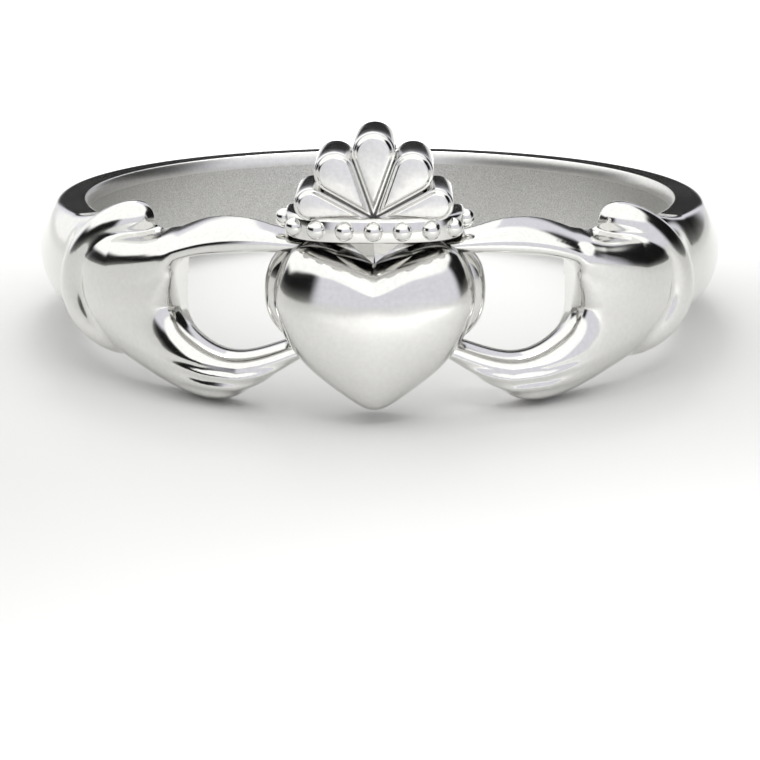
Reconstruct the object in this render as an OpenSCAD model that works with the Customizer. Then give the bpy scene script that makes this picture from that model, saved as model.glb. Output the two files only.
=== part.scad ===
// Claddagh ring: two hands hold a puffed heart under a crown.
// One casting, lying on its side as it rests on a table, front towards -Y.
// Millimetres. The ring is first drawn in its own axes: the finger axis is Z,
// the heart faces -Y, and phi is the angle round the finger from the heart.

/* [Finger] */
// Radius of the finger bore at the middle of the band
bore_r = 8.65; // [8.4:0.05:8.9]
// Half length of the straight part of the bore
bore_half = 1.0; // [0.8:0.05:1.1]
// How much the bore opens out at its rounded edges
bore_ease = 0.36; // [0.3:0.02:0.4]

/* [Shank] */
// Outer radius of the shank
shank_r = 10.1; // [10:0.05:10.3]
// Half width of the shank
shank_half = 1.43; // [1.35:0.01:1.5]
// Where the shank meets the cuffs, degrees round from the heart
shank_end = 61; // [60:0.5:64]

/* [Cuffs] */
// Place of the rolled cuff at its top and bottom, degrees from the heart
cuff_phi = 47.5; // [46.5:0.5:48.5]
// How far the cuff bows back at the outside, degrees
cuff_bow = 7.5; // [5:0.5:8.5]
// Radius of the roll itself
cuff_roll = 0.46; // [0.42:0.01:0.5]
// Half height of the cuff loop, at the middle of the roll
cuff_half = 1.66; // [1.6:0.01:1.7]

/* [Heart] */
// Half width of the heart across its lobes
heart_half_w = 2.7; // [2.6:0.01:2.75]
// How far the puffed heart stands out of its flat edge
heart_puff = 1.35; // [1.1:0.01:1.5]
// Forward distance of the heart's edge from the finger axis
heart_edge_y = 10.15; // [10:0.01:10.25]

/* [Crown] */
// Forward distance of the crown's flat petal faces
crown_front_y = 11.2; // [11.1:0.01:11.3]
// Height where the petals meet
crown_foot_z = 2.52; // [2.48:0.01:2.54]
// Radius of a pearl on the crown's base
pearl_r = 0.26; // [0.22:0.01:0.28]

/* [Hidden] */

silver = [0.8, 0.8, 0.78];

// ---- rest pose: the ring leans back until the hands and the back edge touch
dome_r = 2.1;                             // radius of the shank's domed outside
hand_low = [7.908, -2.912];               // distance forward, height of a hand's lowest point
back_low = [shank_r - dome_r + sqrt(dome_r * dome_r - shank_half * shank_half), -shank_half]; // distance back, height of the shank's lower edge
lean = atan((back_low[1] - hand_low[1]) / (hand_low[0] + back_low[0]));
drop = hand_low[0] * sin(lean) + hand_low[1] * cos(lean);
rest_shift = 0.72;                        // brings the middle of the footprint box to the origin

// ---- tables -------------------------------------------------------------
// Wrist and palm, one bar: phi, lower z, upper z, height of the split line, outer radius
PALM = [
    [64, -1.00, 1.05, 0.10,  9.65],
    [58, -1.25, 1.22, 0.12,  9.90],
    [52, -1.58, 1.36, 0.14, 10.15],
    [47, -1.90, 1.40, 0.16, 10.30],
    [43, -2.12, 1.44, 0.18, 10.42],
    [39, -2.34, 1.54, 0.20, 10.48],
    [36, -2.53, 1.74, 0.22, 10.48],
];
// Thumb, from the split on: phi, window edge z, upper z, height of its widest line, outer radius
THUMB = [
    [34.8, 0.50, 1.84, 0.80, 10.42],
    [32.3, 0.80, 1.97, 1.20, 10.36],
    [28,   1.00, 2.13, 1.45, 10.28],
    [24,   1.09, 2.20, 1.58, 10.20],
    [20,   1.15, 2.20, 1.64, 10.12],
    [16.5, 1.20, 2.12, 1.64, 10.05],
    [12.5, 1.26, 1.98, 1.62,  9.95],
];
// Fingers, from the split on: phi, lower z, window edge z, height of their widest line, outer radius, groove depth
FINGERS = [
    [34.8, -2.63, -0.20, -0.60, 10.42, 0.02],
    [33,   -2.72, -0.72, -1.10, 10.42, 0.05],
    [30.5, -2.82, -1.10, -1.42, 10.42, 0.09],
    [27,   -2.92, -1.38, -1.70, 10.40, 0.11],
    [24,   -2.88, -1.52, -1.82, 10.34, 0.12],
    [21,   -2.68, -1.52, -1.80, 10.24, 0.12],
    [18,   -2.42, -1.40, -1.66, 10.10, 0.11],
    [15,   -2.12, -1.22, -1.46,  9.96, 0.09],
    [12,   -1.74, -1.04, -1.24,  9.84, 0.06],
];
// Heart outline, right half: across, up
HEART = [
    [0.00,  0.98], [0.22,  1.13], [0.50,  1.29], [0.89,  1.47], [1.30,  1.62],
    [1.70,  1.68], [2.05,  1.58], [2.35,  1.30], [2.57,  0.88], [2.68,  0.42],
    [2.69,  0.10], [2.60, -0.28], [2.40, -0.75], [2.12, -1.19], [1.78, -1.57],
    [1.38, -1.92], [0.98, -2.22], [0.62, -2.47], [0.30, -2.65], [0.00, -2.72],
];
// Puff of the heart: scale of the outline, share of the full height
PUFF = [
    [1.00, 0.00], [1.00, 0.16], [0.97, 0.34], [0.90, 0.54], [0.79, 0.72],
    [0.64, 0.86], [0.45, 0.95], [0.24, 0.99],
];
// Petals: angle from upright, distance of the round end from the foot, radius of the round end
PETALS = [
    [  0, 1.71, 0.575],
    [ 40, 1.57, 0.56],
    [-40, 1.57, 0.56],
    [ 79, 1.69, 0.41],
    [-79, 1.69, 0.41],
];
// Crown base seen from above, a squarish half oval: half width, forward distance of its middle, depth, squareness
BASE = [2.38, 9.0, 2.4, 3];
base_z = [1.92, 2.56];
// Pearls: across, forward, up
PEARLS = [
    [0, 11.40, 2.24], [0.75, 11.37, 2.24], [1.49, 11.17, 2.24], [2.07, 10.66, 2.24], [2.40, 9.17, 2.24],
];

// ---- small tools --------------------------------------------------------
function at(phi, r, z) = [r * sin(phi), -r * cos(phi), z];
function spow(v, p) = sign(v) * pow(abs(v), p);
function mixv(a, b, t) = a + (b - a) * t;
// skin over rings of equal length, closed by flat ends
module skin(rings) {
    n = len(rings[0]);
    m = len(rings);
    polyhedron(
        points = [for (r = rings) each r],
        faces = concat(
            [[for (i = [n - 1:-1:0]) i]],
            [for (j = [0:m - 2]) for (i = [0:n - 1]) each [
                [j * n + i, j * n + (i + 1) % n, (j + 1) * n + i],
                [j * n + (i + 1) % n, (j + 1) * n + (i + 1) % n, (j + 1) * n + i]]],
            [[for (i = [0:n - 1]) (m - 1) * n + i]]
        ),
        convexity = 6
    );
}
function bump(t, c, w) = let (d = abs(t - c)) d < w ? (1 + cos(180 * d / w)) / 2 : 0;
ri = bore_r - 0.5; // inner side of every bar, inside the finger bore
// the hands' sections slant: their inner side lies further round than their outer side
function slant(phi, r, z) = at(phi + 2.9 * (10 - r), r, z);
// part of a rounded section: from angle a0 to a1 round a widest line at height zm, reaching height ze
function arc(phi, a0, a1, n, ro, zm, ze, sq, g = 0) = [
    for (i = [0:n])
        let (t = a0 + (a1 - a0) * i / n,
             k = 1 - g * (bump(t, -9, 8) + bump(t, -31, 11) + bump(t, -62, 14)))
        slant(phi, (ro + ri) / 2 + (ro - ri) / 2 * spow(cos(t), 2 / sq) * k,
              zm + (ze - zm) * abs(spow(sin(t), 2 / sq)) * k)
];

// ---- shank: a band with a domed outside, open at the front --------------
module shank() {
    rotate([0, 0, -90 + shank_end])
        rotate_extrude(angle = 360 - 2 * shank_end, $fn = 96)
            intersection() {
                translate([bore_r - 0.3, -shank_half]) square([2, 2 * shank_half]);
                translate([shank_r - dome_r, 0]) circle(r = dome_r, $fn = 64);
            }
}

// ---- cuff: a roll round the wrist ---------------------------------------
module cuff() {
    n = 27;
    k = 10;
    rings = [for (j = [0:n - 1])
        let (t = 360 * (j + 0.37) / n, out = max(0, cos(t)),
             phi = cuff_phi + cuff_bow * out * out,
             rc = 9.30 + 0.92 * cos(t), zc = 0.08 + cuff_half * spow(sin(t), 0.8))
        [for (i = [0:k - 1])
            let (a = 360 * (i + 0.21) / k,
                 r = rc + cuff_roll * cos(a) * cos(t), z = zc + cuff_roll * cos(a) * sin(t))
            at(phi + asin(cuff_roll * 1.35 * sin(a) / 10), r, z)]];
    polyhedron(
        points = [for (r = rings) each r],
        faces = [for (j = [0:n - 1]) for (i = [0:k - 1]) each [
            [j * k + i, ((j + 1) % n) * k + i, j * k + (i + 1) % k],
            [j * k + (i + 1) % k, ((j + 1) % n) * k + i, ((j + 1) % n) * k + (i + 1) % k]]],
        convexity = 6
    );
}

// ---- hand: wrist and palm in one bar, which splits into thumb and fingers round a window
NU = 12; // steps over the top
NL = 26; // steps under the bottom
NP = 8;  // steps across the window's wall
module hand() {
    // one ring before the split: outer side, top, inner side, bottom
    bars = [for (q = PALM) concat(
        arc(q[0], 0, 180, NU, q[4], q[3], q[2], 2.5),
        [for (p = arc(q[0], -180, 0, NL, q[4], q[3], q[1], 2.5)) p])];
    split = PALM[len(PALM) - 1];
    web = [for (i = [1:NP - 1]) slant(split[0], mixv(ri, split[4], i / NP), split[3])];
    upper = [for (q = THUMB) concat(
        arc(q[0], 0, 180, NU, q[4], q[3], q[2], 2.3),
        [for (i = [1:NP - 1]) arc(q[0], 180, 0, NP, q[4], q[3], q[1], 3.4)[i]])];
    lower = [for (q = FINGERS) concat(
        arc(q[0], -180, 0, NL, q[4], q[3], q[1], 2.3, q[5]),
        [for (i = [1:NP - 1]) arc(q[0], 0, 180, NP, q[4], q[3], q[2], 3.4)[i]])];
    n = NU + NL;          // points of a whole ring, without the two doubled ones
    whole = [for (r = bars) concat([for (i = [0:NU]) r[i]], [for (i = [1:NL - 1]) r[NU + 1 + i]])];
    m = len(whole);
    last = (m - 1) * n;
    w0 = m * n;           // first point of the web
    nu = NU + NP;
    u0 = w0 + NP - 1;     // first point of the thumb
    nl = NL + NP;
    l0 = u0 + len(upper) * nu;
    // the split ring as the thumb and the fingers see it
    first_u = concat([for (i = [0:NU]) last + i], [for (i = [0:NP - 2]) w0 + i]);
    first_l = concat([for (i = [0:NL - 1]) last + NU + i], [last], [for (i = [NP - 2:-1:0]) w0 + i]);
    ids_u = concat([first_u], [for (j = [0:len(upper) - 1]) [for (i = [0:nu - 1]) u0 + j * nu + i]]);
    ids_l = concat([first_l], [for (j = [0:len(lower) - 1]) [for (i = [0:nl - 1]) l0 + j * nl + i]]);
    ids_w = [for (j = [0:m - 1]) [for (i = [0:n - 1]) j * n + i]];
    polyhedron(
        points = concat([for (r = whole) each r], web, [for (r = upper) each r], [for (r = lower) each r]),
        faces = turned(concat(
            [[for (i = [n - 1:-1:0]) i]],
            walls(ids_w), walls(ids_u), walls(ids_l),
            [ids_u[len(ids_u) - 1]], [ids_l[len(ids_l) - 1]]
        )),
        convexity = 8
    );
}
// faces wound the other way
function turned(F) = [for (f = F) [for (i = [len(f) - 1:-1:0]) f[i]]];
// triangles between rows of point numbers
function walls(R) = [for (j = [0:len(R) - 2]) let (n = len(R[0])) for (i = [0:n - 1]) each [
    [R[j][i], R[j][(i + 1) % n], R[j + 1][i]],
    [R[j][(i + 1) % n], R[j + 1][(i + 1) % n], R[j + 1][i]]]];

// ---- heart: a flat tier that the hands hold, and the puffed heart on it --
function heart_ring(s) = let (c = [0, -0.15], h = heart_half_w / 2.69, n = len(HEART)) [
    for (i = [0:n - 1]) c + s * ([HEART[i][0] * h, HEART[i][1]] - c),
    for (i = [n - 2:-1:1]) c + s * ([-HEART[i][0] * h, HEART[i][1]] - c)
];
module heart() {
    rings = concat(
        [[for (p = heart_ring(0.99)) [p[0], -bore_r + 0.9, p[1]]]],
        [for (q = PUFF) [for (p = heart_ring(q[0]))
            [p[0], -heart_edge_y - heart_puff * q[1] + 0.045 * p[0] * p[0] * (1 - q[1]), p[1]]]]
    );
    skin(rings);
}
module heart_tier() {
    translate([0, -8, 0.18]) rotate([90, 0, 0])
        linear_extrude(height = 1.62)
            polygon([for (i = [0:39]) let (t = 360 * (i + 0.3) / 40) [2.98 * spow(cos(t), 0.8), 1.72 * spow(sin(t), 0.8)]]);
}

// ---- keel: a faceted wedge from the heart's notch up to the crown --------
module keel() {
    zt = base_z[0] + 0.1;
    polyhedron(
        points = [
            [-0.93, -8.2, zt], [0.93, -8.2, zt], [0.93, -10.3, zt], [0.42, -10.6, zt], [0, -10.95, zt],
            [-0.42, -10.6, zt], [-0.93, -10.3, zt],
            [-0.1, -8.2, 0.6], [0.1, -8.2, 0.6], [0.06, -10.3, 0.6], [-0.06, -10.3, 0.6]],
        faces = turned([
            [0, 6, 5, 4, 3, 2, 1], [0, 1, 8, 7], [1, 2, 9], [1, 9, 8], [2, 3, 9], [3, 4, 9], [4, 10, 9],
            [4, 5, 10], [5, 6, 10], [6, 0, 10], [0, 7, 10], [7, 8, 9, 10]])
    );
}

// ---- crown: base, pearls and five petals ---------------------------------
module crown_base() {
    translate([0, 0, base_z[0]]) linear_extrude(height = base_z[1] - base_z[0])
        polygon(concat(
            [[-1.85, -8.3]],
            [for (i = [0:22]) let (t = 180 - 180 * i / 22)
                [BASE[0] * spow(cos(t), 2 / BASE[3]), -BASE[1] - BASE[2] * spow(sin(t), 2 / BASE[3])]],
            [[1.85, -8.3]]
        ));
}
module pearls() {
    for (p = PEARLS) for (s = p[0] == 0 ? [1] : [-1, 1])
        translate([s * p[0], -p[1], p[2]]) rotate([7, 0, 5]) sphere(r = pearl_r, $fn = 14);
}
// a teardrop with its point at the foot and its round end of radius r at distance d, drawn in by e
function tear(d, r, n, e = 0) = let (w = asin(r / d)) concat(
    [[0, e * d / r]],
    [for (i = [0:n]) let (t = -w + (180 + 2 * w) * i / n) [(r - e) * cos(t), d + (r - e) * sin(t)]]
);
// the raised face of one petal, with a bevel all round
module petal(d, r) {
    skin([for (q = [[0.15, 0], [0.05, 0.1], [0.05, 0.3]])
        [for (p = tear(d, r, 14, q[0])) [p[0], -crown_front_y + q[1], p[1]]]]);
}
module petals() {
    back = 8.45;
    // the plate that carries the petals
    translate([0, -back, crown_foot_z]) rotate([90, 0, 0])
        linear_extrude(height = crown_front_y - 0.22 - back) {
            for (q = PETALS) rotate(-q[0]) polygon(tear(q[1], q[2], 14));
            translate([-1.6, -0.3]) square([3.2, 0.5]);
        }
    for (q = PETALS)
        translate([0, 0, crown_foot_z]) rotate([0, q[0], 0]) petal(q[1], q[2]);
}

// ---- finger bore: straight in the middle, rounded out at both edges ------
module bore() {
    e = bore_ease;
    w = 0.6; // length of each rounded edge
    rotate_extrude($fn = 128)
        polygon(concat(
            [[0, -9], [bore_r + e, -9]],
            [for (i = [0:4]) let (a = 90 * i / 4) [bore_r + e * (1 - sin(a)), -bore_half - w + w * (1 - cos(a))]],
            [for (i = [0:4]) let (a = 90 - 90 * i / 4) [bore_r + e * (1 - sin(a)), bore_half + w - w * (1 - cos(a))]],
            [[bore_r + e, 9], [0, 9]]
        ));
}

// ---- the casting ----------------------------------------------------------
module front() {
    for (s = [0, 1]) mirror([s, 0, 0]) {
        hand();
        cuff();
    }
    heart();
    heart_tier();
    keel();
    crown_base();
    pearls();
    petals();
}

module ring() {
    color(silver)
        translate([0, rest_shift, -drop])
            rotate([-lean, 0, 0])
                difference() {
                    union() {
                        resize([0, 0, 0]) front();
                        shank();
                    }
                    bore();
                }
}

ring();
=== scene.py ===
import math

import bpy
import numpy as np
from mathutils import Matrix, Vector


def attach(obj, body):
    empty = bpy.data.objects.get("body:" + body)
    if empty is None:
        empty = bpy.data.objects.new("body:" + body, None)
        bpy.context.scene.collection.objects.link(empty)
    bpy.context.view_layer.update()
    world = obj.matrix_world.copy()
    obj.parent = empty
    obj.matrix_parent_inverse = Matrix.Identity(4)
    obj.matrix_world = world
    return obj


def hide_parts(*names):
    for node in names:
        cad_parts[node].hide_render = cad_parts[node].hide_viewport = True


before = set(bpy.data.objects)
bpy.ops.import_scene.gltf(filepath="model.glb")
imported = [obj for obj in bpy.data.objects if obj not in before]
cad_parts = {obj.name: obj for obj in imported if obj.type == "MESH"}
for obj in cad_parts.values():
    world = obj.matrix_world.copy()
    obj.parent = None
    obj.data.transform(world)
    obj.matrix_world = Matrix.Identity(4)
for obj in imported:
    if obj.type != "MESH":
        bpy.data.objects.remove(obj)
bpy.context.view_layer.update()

BORE_R, BORE_HALF, EASE, EASE_W = 8.65, 1.0, 0.36, 0.6
SHANK_R, SHANK_HALF, DOME_R = 10.1, 1.43, 2.1
SLANT = 2.9            # degrees that the hands' walls lean round, per millimetre inwards
SPLIT_PHI = 74.0       # where the hands' meshes meet the shank's
STEP = 0.042           # grid step of the hands


def smooth_row(phi, xs, ys, sigma, lo=-10.0, hi=100.0, d=0.1):
    """A table's column at phi, rounded off over sigma."""
    fine = np.arange(lo, hi, d)
    order = np.argsort(xs)
    y = np.interp(fine, np.array(xs)[order], np.array(ys)[order])
    k = np.arange(-int(4 * sigma / d), int(4 * sigma / d) + 1) * d
    w = np.exp(-0.5 * (k / sigma) ** 2)
    y = np.convolve(np.pad(y, len(k) // 2, mode="edge"), w / w.sum(), mode="valid")
    return np.interp(phi, fine, y)


def smin(a, b, k):
    h = np.clip(0.5 + 0.5 * (b - a) / k, 0, 1)
    return b + (a - b) * h - k * h * (1 - h)


def smax(a, b, k):
    return -smin(-a, -b, k)


def bore_profile(z):
    """Radius of the finger hole at height z: straight, then rounded out."""
    t = np.clip((np.abs(z) - BORE_HALF) / EASE_W, 0, 1)
    return BORE_R + EASE * (1 - np.sqrt(np.clip(1 - t * t, 0, 1)))


def oval(r, z, rc, a, zm, b_up, b_dn, p_up, p_dn):
    """Rough distance to a rounded section round a widest line at height zm."""
    up = z > zm
    b = np.where(up, b_up, b_dn)
    p = np.where(up, p_up, p_dn)
    u, v = np.abs(r - rc) / a + 1e-6, np.abs(z - zm) / b + 1e-6
    q = u ** p + v ** p
    g = q ** (1 / p)
    gr = u ** (p - 1) / a * q ** (1 / p - 1)
    gz = v ** (p - 1) / b * q ** (1 / p - 1)
    return (g - 1) / np.maximum(np.sqrt(gr * gr + gz * gz), 0.35)


def bump(t, c, w):
    d = np.abs(t - c)
    return np.where(d < w, (1 + np.cos(np.pi * np.minimum(d / w, 1))) / 2, 0)


# wrist and palm: phi, lower z, upper z, height of its widest line, outer radius
PALM = [
    [80, -0.80, 0.90, 0.08, 9.30], [70, -0.95, 1.00, 0.10, 9.60], [64, -1.10, 1.34, 0.12, 9.85], [58, -1.32, 1.50, 0.16, 10.25],
    [52, -1.60, 1.54, 0.22, 10.56], [47, -1.90, 1.50, 0.32, 10.62], [43, -2.12, 1.43, 0.52, 10.60], [39, -2.34, 1.42, 0.74, 10.53],
    [36, -2.53, 1.52, 0.86, 10.46], [32, -2.75, 1.72, 0.98, 10.35], [28, -2.9, 1.84, 1.0, 10.2],
]
# thumb: phi, window edge z, upper z, height of its widest line, outer radius
THUMB = [
    [60, 0.10, 1.10, 0.50, 9.80], [50, 0.10, 1.20, 0.55, 10.15], [43, 0.20, 1.28, 0.60, 10.35], [39, 0.34, 1.34, 0.74, 10.42],
    [34.8, 0.66, 1.58, 1.00, 10.43], [32.3, 0.92, 1.74, 1.20, 10.40], [28, 1.10, 1.99, 1.40, 10.30], [24, 1.18, 2.10, 1.51, 10.22],
    [20, 1.23, 2.10, 1.56, 10.14], [16.5, 1.27, 2.02, 1.57, 10.06], [12.5, 1.31, 1.88, 1.55, 9.96], [6, 1.32, 1.75, 1.44, 9.9],
]
# fingers: phi, lower z, window edge z, height of their widest line, outer radius, groove depth
FINGERS = [
    [60, -1.25, -0.30, -0.60, 9.80, 0.0], [50, -1.72, -0.25, -0.90, 10.10, 0.0], [43, -2.12, -0.20, -1.20, 10.32, 0.0],
    [39, -2.34, -0.20, -1.45, 10.40, 0.15], [34.8, -2.63, -0.18, -1.70, 10.44, 0.45], [33, -2.72, -0.56, -1.85, 10.44, 0.62],
    [30.5, -2.82, -0.97, -2.05, 10.42, 0.8], [27, -2.92, -1.29, -2.20, 10.38, 1.0], [24, -2.89, -1.44, -2.24, 10.32, 1.0],
    [21, -2.70, -1.46, -2.14, 10.22, 1.0], [18, -2.44, -1.36, -1.95, 10.09, 0.95], [15, -2.13, -1.21, -1.70, 9.95, 0.8],
    [12, -1.76, -1.03, -1.42, 9.82, 0.5], [6, -1.3, -0.9, -1.15, 9.7, 0.2],
]
# grooves between the fingers: (degrees round, height) along each, half width, depth
GROOVES = [
    ([(11, -1.55), (15, -1.73), (18.5, -1.88), (22, -1.98), (28, -1.90), (34, -1.68), (38, -1.5)], 0.16, 0.042),
    ([(11, -1.80), (15, -2.02), (18.5, -2.18), (22, -2.26), (28, -2.20), (33, -2.02), (38, -1.85)], 0.17, 0.052),
    ([(11, -1.98), (15, -2.26), (18.5, -2.44), (22, -2.55), (28, -2.52), (33, -2.38), (38, -2.2)], 0.17, 0.056),
]

# the shank's end: height, degrees round from the heart
LIP = [[-1.9, 56.5], [-1.2, 58.6], [-0.35, 59.8], [0.0, 60.1], [0.30, 60.0], [0.82, 58.2], [1.41, 54.8], [1.91, 50.0], [2.4, 46.0]]

def round_both(a, b, r):
    """Where a and b are both inside, with their common edge rounded to radius r."""
    return np.minimum(np.maximum(a + r, b + r), 0) + np.hypot(np.maximum(a + r, 0), np.maximum(b + r, 0)) - r


def cuff_curve(t):
    """The middle of the cuff's roll, once round the wrist: place round in mm (narrowed), radius, height."""
    c, q = np.cos(t), np.sin(t)
    out = np.maximum(c, 0)
    phi = 47.3 + 7.3 * out ** 2 - 1.2 * np.maximum(q, 0) ** 2 * (1 - out)
    high = np.where(q > 0, 1.92 * q, 1.46 * q * (1 + 0.20 * c * c))
    return np.stack([np.radians(phi) * 10 / 1.30, 9.32 + 0.90 * c, high - 0.18])


def cuff_field(phi, r, z):
    """Distance to the cuff's roll."""
    shape = phi.shape
    P = np.stack([np.radians(phi).ravel() * 10 / 1.30, r.ravel(), z.ravel()])
    f = np.full(P.shape[1], 1.0)
    near = (phi.ravel() > 38) & (phi.ravel() < 64)
    P = P[:, near]
    best, t = np.full(P.shape[1], 1e9), np.zeros(P.shape[1])
    for k in range(60):
        tk = 2 * math.pi * k / 60
        d = ((P - cuff_curve(np.array(tk))[:, None]) ** 2).sum(0)
        up = d < best
        best[up], t[up] = d[up], tk
    e = 1e-3
    for _ in range(4):
        c0, c1, c2 = cuff_curve(t), cuff_curve(t + e), cuff_curve(t - e)
        d1, d2 = (c1 - c2) / (2 * e), (c1 + c2 - 2 * c0) / (e * e)
        g = ((P - c0) * d1).sum(0)
        h = (d1 * d1).sum(0) - ((P - c0) * d2).sum(0)
        t = t + np.clip(g / np.maximum(h, 0.3 * (d1 * d1).sum(0)), -0.08, 0.08)
    d = np.sqrt(((P - cuff_curve(t)) ** 2).sum(0))
    f[near] = d - 0.485 - 0.025 * np.maximum(np.sin(t), 0)
    return f.reshape(shape)


def hand_field(sp, r, z):
    """Distance-like field of one hand: fingers, thumb and palm. sp is the slanted place round, in degrees at r = 10."""
    phi = sp + SLANT * (10 - r)
    T = {n: [smooth_row(sp, [q[0] for q in tab], [q[i] for q in tab], 1.3) for i in range(1, len(tab[0]))]
         for n, tab in (("p", PALM), ("t", THUMB), ("f", FINGERS))}
    ri = BORE_R - 0.5
    # fingers, with grooves between them
    lo, hi, zm, ro, gd = T["f"]
    a, rc = (ro - ri) / 2, (ro + ri) / 2
    under = (10.0 - r) * 0.11                       # the window's lower wall falls away inwards
    fing = oval(r, z + under * (z > zm), rc, a, zm, hi - zm, zm - lo, 2.15, 2.3)
    outer = np.clip((r - rc) / (0.45 * a), 0, 1) * np.clip((37 - sp) / 8, 0, 1)
    cut = 0
    for line, w, d in GROOVES:
        zg = np.interp(sp, [q[0] for q in line], [q[1] for q in line])
        cut = cut + d * bump(z, zg, w)
    cut = cut * outer
    fing = fing + cut * gd
    # thumb
    lo, hi, zm, ro = T["t"]
    a, rc = (ro - ri) / 2, (ro + ri) / 2
    rc, a = rc - 0.3, a + 0.3                      # its crest is near the finger hole
    thumb = oval(r, z + 0.13 * (r - 9.15) * np.clip((z - zm) / 0.25, 0, 1), rc, a, zm, hi - zm, zm - lo, 2.9, 3.2)
    # palm, ending at the window
    lo, hi, zm, ro = T["p"]
    a, rc = (ro - ri) / 2, (ro + ri) / 2
    slope = 0.06 * (r - 9.15)                      # the top face falls away outwards
    palm = oval(r, z + slope * np.clip((z - 0.3) / 0.5, 0, 1), rc, a, zm, hi - zm, zm - lo, 2.6 + 1.4 * np.clip((46 - sp) / 8, 0, 1), 2.5)
    palm = palm + cut
    end_at = 32.7 - 0.6 * np.clip(-z, 0, 1.2)
    k_end = 0.40 + 0.60 * np.clip((0.55 - z) / 0.9, 0, 1) ** 1.2 + 0.15 * np.clip((z - 0.45) / 0.6, 0, 1)
    palm = round_both(palm, (end_at - sp) * 0.1745, k_end)
    f = smin(smin(thumb, fing, 0.10), palm, 0.30 - 0.08 * np.clip((z - 0.9) / 0.3, 0, 1))
    return f, phi


def side_field(sp, r, z):
    f, phi = hand_field(sp, r, z)
    low = np.clip((-0.1 - z) / 1.0, 0, 1)
    f = smin(f, cuff_field(phi, r, z), 0.08 + 0.04 * low + 0.10 * np.clip((z - 0.8) / 0.5, 0, 1))
    # the shank's end, with its lip
    half = SHANK_HALF + 0.46 * np.clip((66 - phi) / 15, 0, 1) ** 1.5 * (z > 0) + 0.12 * np.clip((66 - phi) / 10, 0, 1) * (z < 0)
    zz = z * SHANK_HALF / half
    dome = np.sqrt((r - (SHANK_R - DOME_R)) ** 2 + zz ** 2) - DOME_R
    shank = smax(dome, np.abs(z) - half, 0.12)
    lip = smooth_row(z, [q[0] for q in LIP], [q[1] for q in LIP], 0.22, -4.0, 4.0, 0.01)
    shank = smax(shank, (lip - phi) * 0.1745, 0.20)
    f = smin(f, shank, 0.02 + (0.06 + 0.27 * low) * np.clip((71 - phi) / 8, 0, 1))
    # the finger hole
    deep = 0.08 * np.clip((21 - phi) / 3, 0, 1)
    hole = bore_profile(z) + deep - r
    ch = (f + hole + 0.10) * 0.7071
    f2 = smax(f, hole, 0.03)
    f = np.where((z < 0.3) & (phi < 42), smax(f2, ch, 0.03), f2)
    return f


def surface(lo, hi, step, field):
    """Smooth surface of a field's zero level over a box, by surface nets, then moved onto the level."""
    n = [int(math.ceil((h - l) / st)) + 1 for l, h, st in zip(lo, hi, step)]
    ax = [l + np.arange(m) * st for l, m, st in zip(lo, n, step)]
    X, Y, Z = np.meshgrid(*ax, indexing="ij")
    F = field(X, Y, Z).astype(np.float64)
    F[0] = np.maximum(F[0], 0.01); F[:, 0] = np.maximum(F[:, 0], 0.01); F[:, -1] = np.maximum(F[:, -1], 0.01)
    F[:, :, 0] = np.maximum(F[:, :, 0], 0.01); F[:, :, -1] = np.maximum(F[:, :, -1], 0.01)
    neg = F < 0
    c = [m - 1 for m in n]
    cnt = np.zeros(c, int)
    acc = np.zeros(c + [3])
    edges = [((0, 0, 0), d) for d in range(3)]
    for axis in range(3):
        others = [a for a in range(3) if a != axis]
        for o1 in (0, 1):
            for o2 in (0, 1):
                off = [0, 0, 0]
                off[others[0]], off[others[1]] = o1, o2
                sl0 = tuple(slice(off[a], off[a] + c[a]) for a in range(3))
                off[axis] = 1
                sl1 = tuple(slice(off[a], off[a] + c[a]) for a in range(3))
                f0, f1 = F[sl0], F[sl1]
                cross = neg[sl0] != neg[sl1]
                t = np.where(cross, f0 / np.where(cross, f0 - f1, 1), 0)
                pos = np.zeros(c + [3])
                pos[..., others[0]], pos[..., others[1]], pos[..., axis] = o1, o2, t
                acc += pos * cross[..., None]
                cnt += cross
    act = cnt > 0
    ids = np.full(c, -1)
    ids[act] = np.arange(act.sum())
    base = np.argwhere(act)
    P = base + acc[act] / cnt[act][:, None]
    quads = []
    for axis in range(3):
        o1, o2 = [a for a in range(3) if a != axis]
        a0 = [slice(0, m) for m in n]
        a1 = [slice(0, m) for m in n]
        a0[axis], a1[axis] = slice(0, n[axis] - 1), slice(1, n[axis])
        s0, s1 = neg[tuple(a0)], neg[tuple(a1)]
        idx = np.argwhere(s0 != s1)
        ok = (idx[:, o1] > 0) & (idx[:, o2] > 0) & (idx[:, o1] < c[o1]) & (idx[:, o2] < c[o2])
        idx = idx[ok]
        flip = s0[tuple(idx.T)]
        q = []
        for d1, d2 in ((0, 0), (-1, 0), (-1, -1), (0, -1)):
            j = idx.copy()
            j[:, o1] += d1
            j[:, o2] += d2
            q.append(ids[tuple(j.T)])
        q = np.stack(q, 1)
        if axis == 1:
            flip = ~flip
        q[flip] = q[flip][:, ::-1]
        quads.append(q)
    Q = np.concatenate(quads)
    G = np.stack(np.gradient(F), -1)

    def at(A, p):
        i = np.clip(np.floor(p).astype(int), 0, np.array(n) - 2)
        t = p - i
        out = 0
        for dx in (0, 1):
            for dy in (0, 1):
                for dz in (0, 1):
                    w = np.abs(1 - dx - t[:, 0]) * np.abs(1 - dy - t[:, 1]) * np.abs(1 - dz - t[:, 2])
                    v = A[i[:, 0] + dx, i[:, 1] + dy, i[:, 2] + dz]
                    out = out + (w if A.ndim == 3 else w[:, None]) * v
        return out
    for _ in range(2):
        g = at(G, P)
        fv = at(F, P)
        move = fv[:, None] * g / np.maximum((g * g).sum(1), 1e-9)[:, None]
        P = P - np.clip(move, -0.5, 0.5)
    g = at(G, P) / np.array(step)
    return np.array(lo) + P * np.array(step), Q, g


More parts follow.
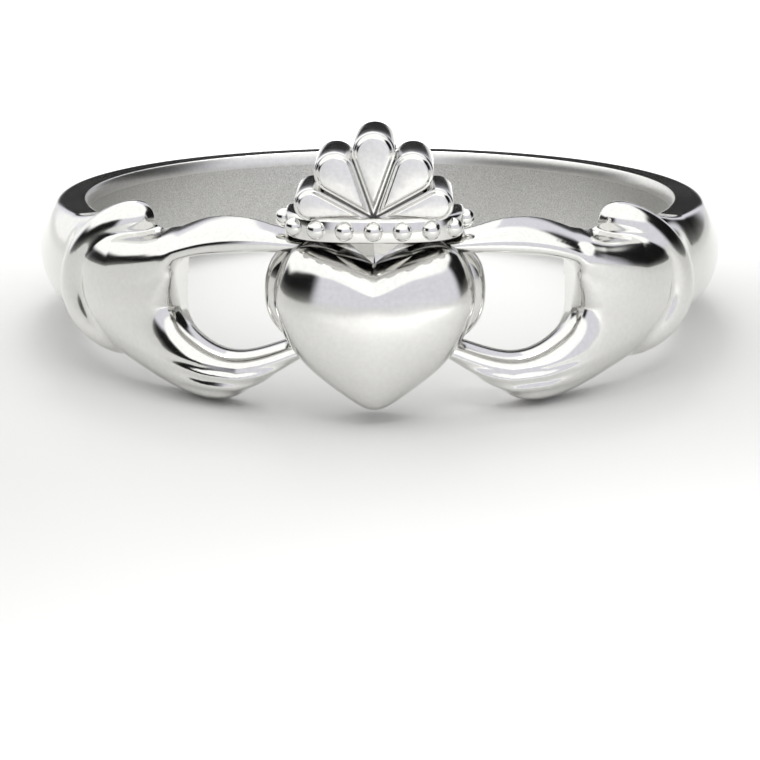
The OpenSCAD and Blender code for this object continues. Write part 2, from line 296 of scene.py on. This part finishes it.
def hand_mesh(step=STEP):
    lo = [np.radians(7.0) * 10, 8.50, -3.08]
    hi = [np.radians(SPLIT_PHI + 5) * 10, 10.98, 2.60]

    def field(S, R, Z):
        sp = np.degrees(S / 10)
        f = side_field(sp, R, Z)
        return f
    P, Q, g = surface(lo, hi, [step] * 3, field)
    phi = P[:, 0] / 10 + math.radians(SLANT) * (10 - P[:, 1])
    # end the mesh in one plane, where the shank's begins
    Q = Q[(phi[Q] <= math.radians(SPLIT_PHI)).any(1)]
    phi = np.minimum(phi, math.radians(SPLIT_PHI))
    r, z = P[:, 1], P[:, 2]
    gphi, gr = 10 * g[:, 0], g[:, 1] + 10 * math.radians(SLANT) * g[:, 0]
    e_r = np.stack([np.sin(phi), -np.cos(phi), 0 * phi], 1)
    e_p = np.stack([np.cos(phi), np.sin(phi), 0 * phi], 1)
    N = e_p * (gphi / r)[:, None] + e_r * gr[:, None] + np.array([0, 0, 1]) * g[:, 2][:, None]
    N /= np.linalg.norm(N, axis=1)[:, None]
    V = e_r * r[:, None] + np.array([0, 0, 1]) * z[:, None]
    used = np.unique(Q)
    new = np.full(len(V), -1)
    new[used] = np.arange(len(used))
    return V[used], new[Q], N[used]
# ---- the rest of the ring -----------------------------------------------------
HEART_HALF = [
    [0.00, 1.20], [0.22, 1.29], [0.50, 1.40], [0.89, 1.53], [1.30, 1.64], [1.70, 1.68], [2.05, 1.58], [2.35, 1.30], [2.57, 0.88],
    [2.69, 0.42], [2.70, 0.10], [2.60, -0.28], [2.40, -0.75], [2.12, -1.19], [1.78, -1.57], [1.38, -1.92], [0.98, -2.22],
    [0.62, -2.47], [0.30, -2.66], [0.00, -2.73],
]
PETALS = [[0, 1.71, 0.575], [40, 1.57, 0.56], [-40, 1.57, 0.56], [77.4, 1.68, 0.45], [-77.4, 1.68, 0.45]]
PEARLS = [[0, 11.40, 2.24], [0.75, 11.37, 2.24], [1.49, 11.17, 2.24], [2.07, 10.66, 2.24], [2.40, 9.17, 2.24]]
PEARL_R = 0.26
CROWN_Y, CROWN_FOOT = 11.2, 2.52
BASE_HALF_W, BASE_MID, BASE_DEPTH = 2.38, 9.0, 2.4
BASE_Z = (1.92, 2.56)


def spline(pts, n, closed=False):
    """n points along a natural cubic spline through pts."""
    pts = np.array(pts, float)
    t = np.concatenate([[0], np.cumsum(np.linalg.norm(np.diff(pts, axis=0), axis=1))])
    m = len(pts)
    h = np.diff(t)
    A = np.zeros((m, m))
    B = np.zeros((m, pts.shape[1]))
    A[0, 0] = A[-1, -1] = 1
    for i in range(1, m - 1):
        A[i, i - 1], A[i, i], A[i, i + 1] = h[i - 1], 2 * (h[i - 1] + h[i]), h[i]
        B[i] = 6 * ((pts[i + 1] - pts[i]) / h[i] - (pts[i] - pts[i - 1]) / h[i - 1])
    M = np.linalg.solve(A, B)
    x = np.linspace(0, t[-1], n)
    i = np.clip(np.searchsorted(t, x, side="right") - 1, 0, m - 2)
    a, b, hh = (t[i + 1] - x)[:, None], (x - t[i])[:, None], h[i][:, None]
    return (M[i] * a ** 3 + M[i + 1] * b ** 3) / (6 * hh) + (pts[i] / hh - M[i] * hh / 6) * a + (pts[i + 1] / hh - M[i + 1] * hh / 6) * b


def loft(rings, cap_start=False, cap_end=False):
    """Quads between closed rings of equal length; each cap is a fan to the ring's middle."""
    rings = [np.asarray(r, float) for r in rings]
    n, m = len(rings[0]), len(rings)
    V = np.concatenate(rings)
    i = np.arange(n)
    F = []
    for j in range(m - 1):
        F += np.stack([j * n + i, j * n + (i + 1) % n, (j + 1) * n + (i + 1) % n, (j + 1) * n + i], 1).tolist()
    if cap_start:
        V = np.concatenate([V, rings[0].mean(0)[None]])
        F += [[len(V) - 1, (k + 1) % n, k] for k in range(n)]
    if cap_end:
        V = np.concatenate([V, rings[-1].mean(0)[None]])
        F += [[len(V) - 1, (m - 1) * n + k, (m - 1) * n + (k + 1) % n] for k in range(n)]
    return V, F


def shank_section(n):
    """The band's section, points (r, z) and normals."""
    def f(r, z):
        dome = np.sqrt((r - (SHANK_R - DOME_R)) ** 2 + z ** 2) - DOME_R
        return smax(smax(dome, np.abs(z) - SHANK_HALF, 0.12), bore_profile(z) - r, 0.03)
    a = (np.arange(n) + 0.5) * 2 * np.pi / n
    lo, hi = np.zeros(n), np.full(n, 3.0)
    for _ in range(44):
        mid = (lo + hi) / 2
        inside = f(9.3 + mid * np.cos(a) * 0.7, mid * np.sin(a)) < 0
        lo, hi = np.where(inside, mid, lo), np.where(inside, hi, mid)
    r, z = 9.3 + lo * np.cos(a) * 0.7, lo * np.sin(a)
    e = 1e-4
    N = np.stack([f(r + e, z) - f(r - e, z), f(r, z + e) - f(r, z - e)], 1)
    return r, z, N / np.linalg.norm(N, axis=1)[:, None]


def shank_mesh(n=176, step=1.0):
    r, z, N2 = shank_section(n)
    a0 = SPLIT_PHI - 0.1
    phis = np.concatenate([[a0, a0 + 0.1, a0 + 0.6, a0 + 1.2], np.arange(a0 + 2, 360 - a0 - 1.5, step), [360 - a0 - 1.2, 360 - a0 - 0.6, 360 - a0 - 0.1, 360 - a0]])
    V, N = [], []
    for p in phis:
        end = min(p - a0, 360 - a0 - p)
        d = 0.0015 if end < 0.05 else 0.0
        q = math.radians(p)
        e_r = np.array([math.sin(q), -math.cos(q), 0])
        V.append(e_r * (r - d * N2[:, 0])[:, None] + np.array([0, 0, 1]) * (z - d * N2[:, 1])[:, None])
        N.append(e_r * N2[:, :1] + np.array([0, 0, 1]) * N2[:, 1:])
    Vv, F = loft(V)
    F = [f[::-1] for f in F]
    return Vv, F, np.concatenate(N)


def on_bore(P, r=None, extra=0.0):
    """Moves points along Y onto the wall of the finger hole, at the front."""
    P = np.array(P, float)
    rb = bore_profile(P[:, 2]) + extra if r is None else r
    P[:, 1] = -np.sqrt(np.maximum(rb ** 2 - P[:, 0] ** 2, 0.01))
    return P


def heart_outline(n):
    h = np.array(HEART_HALF)
    full = np.concatenate([h, (h[:-1] * [-1, 1])[::-1]])
    return spline(full, n + 1)[:-1]


HEART_C = np.array([0.0, -0.15])


def heart_mesh(n=260, m=64):
    o = heart_outline(n)
    d = o - HEART_C
    ang = np.arctan2(d[:, 1], d[:, 0])
    soft = np.stack([2.45 * np.cos(ang), 2.0 * np.sin(ang)], 1)

    def ring(s):
        w = np.clip((0.66 - s) / 0.5, 0, 1)
        w = w * w * (3 - 2 * w)
        return HEART_C + s * (d * (1 - w) + soft * w)

    def front(p, h):
        hh = 0.13 + 0.87 * h
        return np.stack([p[:, 0], -10.15 - 1.35 * hh + 0.045 * p[:, 0] ** 2 * (1 - hh), p[:, 1]], 1)
    rings = []
    for s in (0.02, 0.15, 0.3, 0.45, 0.6, 0.7, 0.78, 0.84, 0.90, 0.95, 0.97, 0.99):
        p = HEART_C + s * d
        rings.append(on_bore(np.stack([p[:, 0], 0 * p[:, 0], p[:, 1]], 1), extra=0.16))
    p = ring(1.0)
    b = on_bore(np.stack([p[:, 0], 0 * p[:, 0], p[:, 1]], 1), extra=0.20)
    f0 = front(p, 0.0)
    for t in (0.0, 0.4, 0.8, 0.97):
        rings.append(b * (1 - t) + f0 * t)
    for k in range(m):
        al = (k + 0.25) / m * math.pi / 2
        rings.append(front(ring(math.cos(al) ** 0.77), math.sin(al) ** 0.9))
    V, F = loft(rings, True, True)
    return V, [q[::-1] for q in F]


def tier_mesh(n=200):
    t = (np.arange(n) + 0.5) * 2 * np.pi / n
    ox, oz = 2.98 * np.sign(np.cos(t)) * np.abs(np.cos(t)) ** 0.8, 1.72 * np.sign(np.sin(t)) * np.abs(np.sin(t)) ** 0.8

    def at(s, rad, inset=0.0, extra=0.0):
        x, z = ox * s * (1 - inset / 2.98), oz * s * (1 - inset / 1.72) + 0.18
        P = np.stack([x, 0 * x, z], 1)
        return on_bore(P, extra=extra) if rad is None else on_bore(P, r=rad)
    rings = [at(s, None) for s in (0.05, 0.2, 0.35, 0.45)] + [at(s, None) for s in np.arange(0.5, 0.98, 0.02)] + [at(1.0, None, 0.03), at(1.0, None, 0.0, 0.06)]
    for rad, inset in ((9.20, 0.0), (9.34, 0.010), (9.44, 0.035), (9.51, 0.075), (9.56, 0.125), (9.60, 0.185), (9.64, 0.26), (9.69, 0.36), (9.73, 0.5)):
        rings.append(at(1.0, rad, inset))
    rings.append(at(0.5, 9.73))
    return loft(rings, True, True)


def keel_mesh():
    """A faceted wedge under the crown's base: its front ridge comes forward as it goes down to a point."""
    zt, zb = BASE_Z[0] + 0.06, 1.34
    P = [[-0.95, -8.9, zt], [0.95, -8.9, zt], [0.95, -10.25, zt], [0.0, -10.74, zt], [-0.95, -10.25, zt],
         [-0.04, -8.9, zb], [0.04, -8.9, zb], [0.04, -10.98, zb], [0.0, -11.02, zb], [-0.04, -10.98, zb]]
    F = [[0, 4, 3, 2, 1], [0, 1, 6, 5], [1, 2, 7, 6], [2, 3, 8, 7], [3, 4, 9, 8], [4, 0, 5, 9], [5, 6, 7, 8, 9]]
    F = [q[::-1] for q in F]
    return np.array(P), F


def web_mesh():
    """A plate filling the narrow gaps between the petals; it is near-black, painted shade standing for the shade in
    those gaps.
    """
    V, F = [], []
    for s in (-1, 1):
        k = len(V)
        pts = [(0, CROWN_FOOT - 0.2)]
        for ang, d in ((0, 1.62), (40, 1.50), (77.4, 1.56), (95, 1.4)):
            q = math.radians(s * ang)
            pts.append((d * math.sin(q), CROWN_FOOT + d * math.cos(q)))
        n = len(pts)
        V += [[x, -9.1, z] for x, z in pts] + [[x, -11.0, z] for x, z in pts]
        fs = [list(range(n))] + [list(range(2 * n - 1, n - 1, -1))] + [[i, i + n, (i + 1) % n + n, (i + 1) % n] for i in range(n)]
        F += [[k + i for i in (f if s < 0 else f[::-1])] for f in fs]
    return np.array(V, float), F


def base_outline(n, inset=0.0):
    t = np.pi * (1 - np.arange(n) / (n - 1))
    w, dp = BASE_HALF_W - inset, BASE_DEPTH - inset
    x = w * np.sign(np.cos(t)) * np.abs(np.cos(t)) ** (2 / 3)
    y = -BASE_MID - dp * np.abs(np.sin(t)) ** (2 / 3)
    front = np.stack([x, y], 1)
    k = 40
    bx = np.linspace(w - 0.02, -w + 0.02, k)
    back = np.stack([bx, -np.sqrt((9.01 + inset) ** 2 - bx ** 2)], 1)
    return np.concatenate([front, back])


def base_mesh():
    rings = []
    for inset, z in ((0.10, BASE_Z[0]), (0.05, BASE_Z[0] + 0.005), (0.015, BASE_Z[0] + 0.025), (0.0, BASE_Z[0] + 0.06),
                     (0.0, BASE_Z[1] - 0.10), (0.02, BASE_Z[1] - 0.055), (0.06, BASE_Z[1] - 0.02), (0.10, BASE_Z[1]), (0.16, BASE_Z[1])):
        o = base_outline(121, inset)
        rings.append(np.concatenate([o, np.full((len(o), 1), z)], 1))
    V, F = loft(rings, False, False)
    n, m = len(rings[0]), len(rings)
    F.append(list(range(n))[::-1])
    F.append([(m - 1) * n + k for k in range(n)])
    return V, F


def tear(d, r, n, e):
    """A teardrop with its point at the foot, drawn in by e."""
    w = math.asin(r / d)
    t = -w + (math.pi + 2 * w) * np.arange(n + 1) / n
    arc = np.stack([(r - e) * np.cos(t), d + (r - e) * np.sin(t)], 1)
    foot = np.array([[0.0, e * d / r]])
    k = 10
    s = (np.arange(1, k) / k)[:, None]
    return np.concatenate([foot, foot + s * (arc[0] - foot), arc, arc[-1] + s * (foot - arc[-1])])


def petal_mesh(q):
    a, d, r = math.radians(q[0]), q[1], q[2]
    rings = []
    layers = ((0.0, None), (0.0, 11.00), (0.012, 11.045), (0.035, 11.07), (0.06, 11.075), (0.075, 11.085), (0.095, 11.12), (0.12, 11.165), (0.14, 11.19), (0.165, 11.2))
    for e, y in layers:
        p = tear(d, r, 44, e + 0.012)
        x = p[:, 0] * math.cos(a) + p[:, 1] * math.sin(a)
        z = -p[:, 0] * math.sin(a) + p[:, 1] * math.cos(a) + CROWN_FOOT
        P = np.stack([x, 0 * x, z], 1)
        if y is None:
            P = on_bore(P, r=9.02 + 0.002 * abs(q[0]) / 10)
        else:
            P[:, 1] = -y
        rings.append(P)
    V, F = loft(rings)
    n, m = len(rings[0]), len(rings)
    F.append(list(range(n))[::-1])
    F.append([(m - 1) * n + k for k in range(n)])
    return V, F


def pearl_mesh(c, r, n=28, m=16):
    rings = []
    for j in range(1, m):
        b = math.pi * j / m
        t = np.arange(n) * 2 * np.pi / n
        rings.append(np.stack([c[0] + r * math.sin(b) * np.cos(t), c[1] + r * math.sin(b) * np.sin(t), c[2] - r * math.cos(b) + 0 * t], 1))
    V, F = loft(rings)
    V = np.concatenate([V, [[c[0], c[1], c[2] - r]], [[c[0], c[1], c[2] + r]]])
    k = len(rings[0])
    F += [[len(V) - 2, (i + 1) % k, i] for i in range(k)]
    F += [[len(V) - 1, (m - 2) * k + i, (m - 2) * k + (i + 1) % k] for i in range(k)]
    return V, F

# ---- from the ring's own axes to the frame: it leans back on its hands and its back edge, in metres ----
LEAN = math.atan(1.482 / (7.908 + SHANK_R - DOME_R + math.sqrt(DOME_R ** 2 - SHANK_HALF ** 2)))
DROP = 7.908 * math.sin(LEAN) - 2.912 * math.cos(LEAN)
SHIFT = 0.72
TURN = np.array([[1, 0, 0], [0, math.cos(LEAN), math.sin(LEAN)], [0, -math.sin(LEAN), math.cos(LEAN)]])


def rest(P):
    return (np.asarray(P) @ TURN.T + np.array([0, SHIFT, -DROP])) * 0.001


def piece(name, V, F, mats, N=None, sharp=None, mirror=False, inner=False):
    V = np.array(V, float)
    F = [list(f) for f in F]
    if mirror:
        V = V * [-1, 1, 1]
        F = [f[::-1] for f in F]
        N = None if N is None else N * [-1, 1, 1]
    W = rest(V)
    me = bpy.data.meshes.new(name)
    me.from_pydata(W.tolist(), [], F)
    me.validate()
    ob = bpy.data.objects.new(name, me)
    bpy.context.scene.collection.objects.link(ob)
    for m in mats:
        me.materials.append(m)
    if inner:
        # the finger hole's wall takes the softer finish
        c = np.array([V[f].mean(0) for f in F])
        rr = np.hypot(c[:, 0], c[:, 1])
        me.polygons.foreach_set("material_index", ((rr < bore_profile(c[:, 2]) + 0.012) & (np.abs(c[:, 2]) < 1.05)).astype(np.int32)
                                + 2 * ((rr < bore_profile(c[:, 2]) + 0.012) & (np.abs(c[:, 2]) >= 1.05)))
    me.polygons.foreach_set("use_smooth", np.ones(len(me.polygons), bool))
    if sharp is not None:
        me.set_sharp_from_angle(angle=math.radians(sharp))
    if N is not None:
        me.normals_split_custom_set_from_vertices((N @ TURN.T).tolist())
    me.update()
    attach(ob, "root")
    return ob


def silver(name, rough, spread, tones, size, grain, painted_gap_shade=False):
    """Silver: small changes in its shine and tone, and a fine grain; with painted_gap_shade, the mesh attribute of that
    name mixes near-black painted shade into its tone.
    """
    m = bpy.data.materials.new(name)
    m.use_nodes = True
    nt = m.node_tree
    nt.nodes.clear()
    out = nt.nodes.new("ShaderNodeOutputMaterial")
    sh = nt.nodes.new("ShaderNodeBsdfPrincipled")
    sh.inputs["Metallic"].default_value = 1.0
    nt.links.new(sh.outputs[0], out.inputs[0])
    co = nt.nodes.new("ShaderNodeTexCoord")
    n1 = nt.nodes.new("ShaderNodeTexNoise")
    n1.inputs["Scale"].default_value = 260.0
    n1.inputs["Detail"].default_value = 3.0
    nt.links.new(co.outputs["Object"], n1.inputs["Vector"])
    ramp = nt.nodes.new("ShaderNodeMapRange")
    ramp.inputs["From Min"].default_value, ramp.inputs["From Max"].default_value = 0.3, 0.7
    ramp.inputs["To Min"].default_value, ramp.inputs["To Max"].default_value = rough - spread, rough + spread
    nt.links.new(n1.outputs[0], ramp.inputs["Value"])
    nt.links.new(ramp.outputs[0], sh.inputs["Roughness"])
    n2 = nt.nodes.new("ShaderNodeTexNoise")
    n2.inputs["Scale"].default_value = size
    n2.inputs["Detail"].default_value = 2.0
    nt.links.new(co.outputs["Object"], n2.inputs["Vector"])
    col = nt.nodes.new("ShaderNodeValToRGB")
    for e, at, v in zip(col.color_ramp.elements, (0.3, 0.7), tones):
        e.position, e.color = at, (v, v * 0.995, v * 0.965, 1)
    nt.links.new(n2.outputs[0], col.inputs[0])
    tone = col.outputs[0]
    # painted shade: near-black mixed into the tone where the mesh attribute says, standing for the shade in the gap
    # under the crown's base
    if painted_gap_shade:
        at = nt.nodes.new("ShaderNodeAttribute")
        at.attribute_name = "painted_gap_shade"
        mx = nt.nodes.new("ShaderNodeMix")
        mx.data_type = "RGBA"
        nt.links.new(at.outputs["Fac"], mx.inputs[0])
        nt.links.new(tone, mx.inputs[6])
        mx.inputs[7].default_value = (0.035, 0.034, 0.032, 1)
        tone = mx.outputs[2]
    nt.links.new(tone, sh.inputs["Base Color"])
    bp = nt.nodes.new("ShaderNodeBump")
    bp.inputs["Strength"].default_value = grain
    bp.inputs["Distance"].default_value = 0.00001
    nt.links.new(n2.outputs[0], bp.inputs["Height"])
    nt.links.new(bp.outputs[0], sh.inputs["Normal"])
    return m


polished = silver("polished_silver", 0.125, 0.02, (0.745, 0.79), 9000.0, 0.03)
satin = silver("satin_silver", 0.33, 0.04, (0.46, 0.76), 26000.0, 0.8)
brushed = silver("brushed_silver", 0.34, 0.03, (0.765, 0.84), 9000.0, 0.05)
# painted shade: near-black silver for the plate between the petals, standing for the shade in the crown's gaps
dark = silver("painted_shade_silver", 0.30, 0.03, (0.10, 0.14), 9000.0, 0.10)
# painted shade: polished silver that the attribute darkens along the heart's upper rim
polished_painted_shade = silver("polished_silver_painted_shade", 0.125, 0.02, (0.745, 0.79), 9000.0, 0.03, painted_gap_shade=True)

V, Q, N = hand_mesh(STEP)
left = piece("hand_left", V, Q.tolist(), [polished, satin, brushed], N, mirror=True, inner=True)
right = piece("hand_right", V, Q.tolist(), [polished, satin, brushed], N, inner=True)
V, F, N = shank_mesh()
shank = piece("shank", V, F, [polished, satin, brushed], N, inner=True)
V, F = heart_mesh()
heart = piece("heart", V, F, [polished_painted_shade, satin, brushed], sharp=38, inner=True)
# painted shade: near-black on the heart's upper rim and sides, fading out towards the middle of its dome, for the shade
# in the gap under the crown's base
at = heart.data.attributes.new("painted_gap_shade", "FLOAT", "POINT")
edge = -V[:, 1] - 10.22 + 0.02 * V[:, 0] ** 2
gap_shade_amount = np.clip(1.0 - edge / 0.30, 0, 1) * np.clip((V[:, 2] - 0.55) / 0.5, 0, 1)
at.data.foreach_set("value", (gap_shade_amount * gap_shade_amount * (3 - 2 * gap_shade_amount)).astype(np.float32))
V, F = tier_mesh()
tier = piece("heart_tier", V, F, [polished, satin, brushed], sharp=40, inner=True)
V, F = keel_mesh()
keel = piece("keel", V, F, [polished], sharp=5)
V, F = base_mesh()
base = piece("crown_base", V, F, [polished], sharp=35)
# the crown's gaps get a near-black plate: painted shade
V, F = web_mesh()
web = piece("crown_web", V, F, [dark], sharp=20)
for i, q in enumerate(PETALS):
    V, F = petal_mesh(q)
    petal = piece("petal_%d" % (i + 1), V, F, [polished, brushed], sharp=32)
    petal.data.polygons[len(F) - 1].material_index = 1
allV, allF = [], []
for q in PEARLS:
    for s in ([1] if q[0] == 0 else [-1, 1]):
        V, F = pearl_mesh([s * q[0], -q[1], q[2]], PEARL_R)
        k = sum(len(v) for v in allV)
        allV.append(V)
        allF += [[j + k for j in f] for f in F]
pearls = piece("pearls", np.concatenate(allV), allF, [polished])
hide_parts("ring")

# ---- camera: the photo's place and lens, leaning with the ring ----------------
E, D, P_, AZ, F_PX = math.radians(10.0757), 84.0, math.radians(12.9439), math.radians(0.8592), 2794.66
eye = np.array([D * math.cos(E) * math.sin(AZ), -D * math.cos(E) * math.cos(AZ), D * math.sin(E)])
fw = np.array([-math.sin(AZ) * math.cos(P_), math.cos(AZ) * math.cos(P_), -math.sin(P_)])
rt = np.cross(fw, [0, 0, 1]); rt /= np.linalg.norm(rt)
up = np.cross(rt, fw)
eye_w, fw, rt, up = rest(eye), TURN @ fw, TURN @ rt, TURN @ up
cam = bpy.data.objects.new("camera", bpy.data.cameras.new("camera"))
bpy.context.scene.collection.objects.link(cam)
M = Matrix([[rt[0], up[0], -fw[0], eye_w[0]], [rt[1], up[1], -fw[1], eye_w[1]], [rt[2], up[2], -fw[2], eye_w[2]], [0, 0, 0, 1]])
cam.matrix_world = M
cam.data.sensor_width = 36.0
cam.data.lens = F_PX / 760 * 36.0
cam.data.clip_start, cam.data.clip_end = 0.002, 10.0
bpy.context.scene.camera = cam

# ---- table --------------------------------------------------------------------
floor_me = bpy.data.meshes.new("table")
floor_me.from_pydata([(-1, -1, 0), (1, -1, 0), (1, 1, 0), (-1, 1, 0)], [], [(0, 1, 2, 3)])
floor = bpy.data.objects.new("table", floor_me)
bpy.context.scene.collection.objects.link(floor)
fm = bpy.data.materials.new("table")
fm.use_nodes = True
b = fm.node_tree.nodes["Principled BSDF"]
b.inputs["Base Color"].default_value = (0.75, 0.75, 0.735, 1)
b.inputs["Roughness"].default_value = 0.6
floor_me.materials.append(fm)


# ---- light --------------------------------------------------------------------
def box_light(name, az, el, dist, w, h, power, target=(0, 0, 0.003)):
    """A soft box at azimuth az (0 is in front of the ring, 90 to the right) and elevation el, in degrees."""
    a, e = math.radians(az), math.radians(el)
    L = bpy.data.lights.new(name, "AREA")
    L.shape = "RECTANGLE"
    L.size, L.size_y = w, h
    L.energy = power
    o = bpy.data.objects.new(name, L)
    bpy.context.scene.collection.objects.link(o)
    t = Vector(target)
    o.location = t + Vector((math.sin(a) * math.cos(e), -math.cos(a) * math.cos(e), math.sin(e))) * dist
    o.rotation_euler = (t - o.location).to_track_quat("-Z", "Y").to_euler()
    return o


world = bpy.data.worlds.new("studio")
bpy.context.scene.world = world
world.use_nodes = True
wn = world.node_tree
wn.nodes.clear()


def math_node(op, a, b=None, c=None):
    n = wn.nodes.new("ShaderNodeMath")
    n.operation = op
    for i, v in enumerate((a, b, c)):
        if v is None:
            continue
        if isinstance(v, (int, float)):
            n.inputs[i].default_value = v
        else:
            wn.links.new(v, n.inputs[i])
    return n.outputs[0]


def soft_step(v, lo, hi):
    n = wn.nodes.new("ShaderNodeMapRange")
    n.interpolation_type = "SMOOTHSTEP"
    n.inputs["From Min"].default_value, n.inputs["From Max"].default_value = lo, hi
    wn.links.new(v, n.inputs["Value"])
    return n.outputs[0]


def mix_color(fac, a, b):
    n = wn.nodes.new("ShaderNodeMix")
    n.data_type = "RGBA"
    wn.links.new(fac, n.inputs[0])
    for k, v in ((6, a), (7, b)):
        if isinstance(v, tuple):
            n.inputs[k].default_value = v
        else:
            wn.links.new(v, n.inputs[k])
    return n.outputs[2]


# A plain studio: white ceiling, pale front wall, dark side walls.
wc = wn.nodes.new("ShaderNodeTexCoord")
sep = wn.nodes.new("ShaderNodeSeparateXYZ")
wn.links.new(wc.outputs["Generated"], sep.inputs[0])
wx, wy, wz = sep.outputs
azim = math_node("MULTIPLY", math_node("ARCTAN2", wx, math_node("MULTIPLY", wy, -1.0)), 180 / math.pi)
elev = math_node("MULTIPLY", math_node("ARCSINE", wz), 180 / math.pi)
minus = math_node("MULTIPLY", azim, -1.0)
right_wall = math_node("MULTIPLY", soft_step(azim, 72.0, 89.0), soft_step(minus, -158.0, -146.0))
left_wall = math_node("MULTIPLY", soft_step(minus, 24.0, 41.0), soft_step(azim, -128.0, -112.0))
side = math_node("MAXIMUM", left_wall, right_wall)
shade = mix_color(soft_step(elev, -5.0, 10.0), (0.29, 0.29, 0.28, 1), (0.008, 0.008, 0.008, 1))
wall = mix_color(side, (0.84, 0.84, 0.92, 1), shade)
corner = math_node("MULTIPLY", soft_step(minus, 118.0, 131.0), soft_step(azim, -160.0, -146.0))
wall = mix_color(corner, wall, (1.16, 1.16, 1.16, 1))
behind = soft_step(math_node("MULTIPLY", math_node("ARCCOSINE", wy), 180 / math.pi), 21.0, 16.0)
ceiling_at = math_node("ADD", 30.0, math_node("MULTIPLY", soft_step(azim, 60.0, 100.0), 9.0))
ceiling_at = math_node("SUBTRACT", ceiling_at, math_node("MULTIPLY", soft_step(minus, 40.0, 80.0), 5.0))
ceiling_at = math_node("SUBTRACT", ceiling_at, math_node("MULTIPLY", soft_step(minus, 74.0, 100.0), 8.0))
ceil = soft_step(math_node("SUBTRACT", elev, ceiling_at), -3.0, 5.0)
sky = mix_color(ceil, wall, (1.30, 1.30, 1.30, 1))
sky = mix_color(behind, sky, (0.02, 0.02, 0.02, 1))
bgn = wn.nodes.new("ShaderNodeBackground")
wn.links.new(sky, bgn.inputs[0])
bgn.inputs[1].default_value = 1.0
wo = wn.nodes.new("ShaderNodeOutputWorld")
wn.links.new(bgn.outputs[0], wo.inputs[0])
front = box_light("soft_front", 15, 80, 0.05, 0.032, 0.022, 0.0056, target=(0.014, -0.038, 0.0))
front.data.spread = math.radians(60)
back = box_light("soft_back", 180, 80, 0.05, 0.022, 0.034, 0.0074, target=(0.0, 0.034, 0.0))
back.data.spread = math.radians(66)
bpy.context.scene.view_settings.view_transform = "Standard"
